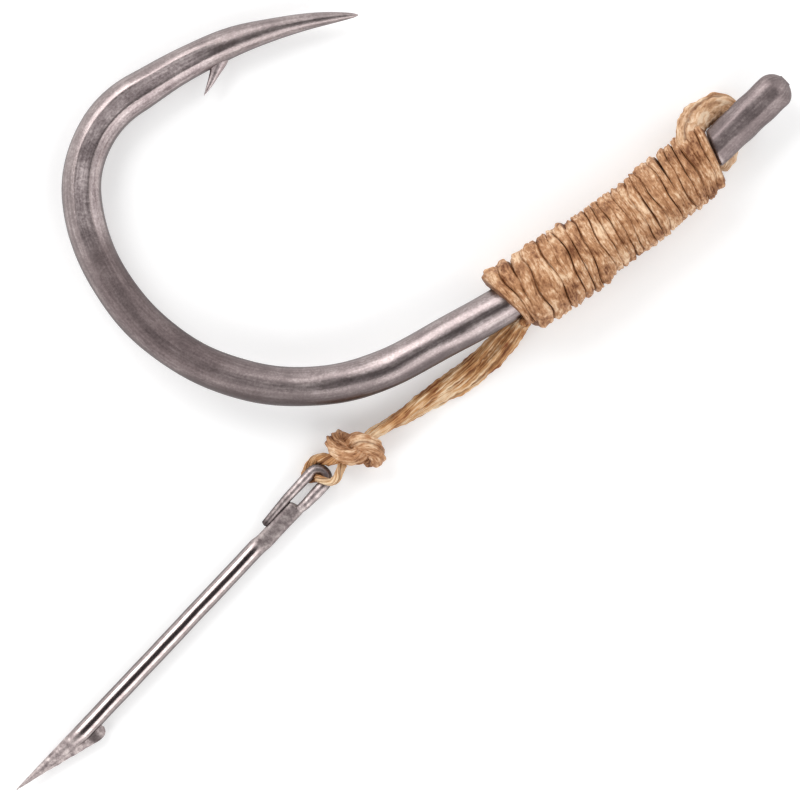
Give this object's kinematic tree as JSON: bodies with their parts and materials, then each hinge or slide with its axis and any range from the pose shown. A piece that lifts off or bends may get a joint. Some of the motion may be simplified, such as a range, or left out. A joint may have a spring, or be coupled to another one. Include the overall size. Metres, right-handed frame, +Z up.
{
  "type": "fish hook",
  "caption": "Large bent steel fish hook with an inside barb, a cord lashing on its shank, and a barbed steel needle on a knotted cord leader.",
  "frame": {"origin": "middle of the outline of the hook and needle as they lie, on the table", "axes": "+Z up from the table, +X to the right of the picture and +Y to its top, the hook's head pointing to +X +Y"},
  "size_m": [0.124, 0.1245, 0.0122],
  "materials": {
    "hook_steel": "worn forged steel, dull grey with a faint purple cast, long draw marks along the bar and darker in the bend",
    "needle_steel": "drawn steel wire, polished along the shank, hammered matt on the blade and the eye",
    "lashing_cord": "laid plant fibre cord, tan, dry and slightly hairy, darker in the grooves",
    "leader_cord": "laid plant fibre cord, golden tan, smoother than the lashing"
  },
  "bodies": {
    "hook": {"main_hook": "hook_steel", "shank_lashing": "lashing_cord", "head_loop": "lashing_cord"},
    "leader": {"leader_strand_wound": "leader_cord", "leader_strand_nipped": "leader_cord"},
    "knot": {"leader_knot": "leader_cord", "eye_loop": "leader_cord"},
    "needle": {"barbed_needle": "needle_steel"}
  },
  "joints": [
    {"name": "leader_swing", "type": "hinge", "parent": "hook", "child": "leader", "pos_m": [0.01957, 0.01212, 0.0045], "axis": [0, 0, 1], "range_deg": [0, 100]},
    {"name": "knot_fold", "type": "hinge", "parent": "leader", "child": "knot", "pos_m": [-0.0043, -0.0055, 0.0046], "axis": [-0.5, 0.866, 0], "range_deg": [0, 80]},
    {"name": "needle_swing", "type": "hinge", "parent": "knot", "child": "needle", "pos_m": [-0.01372, -0.01247, 0.0022], "axis": [0, 0, 1], "range_deg": [-60, 90]}
  ]
}
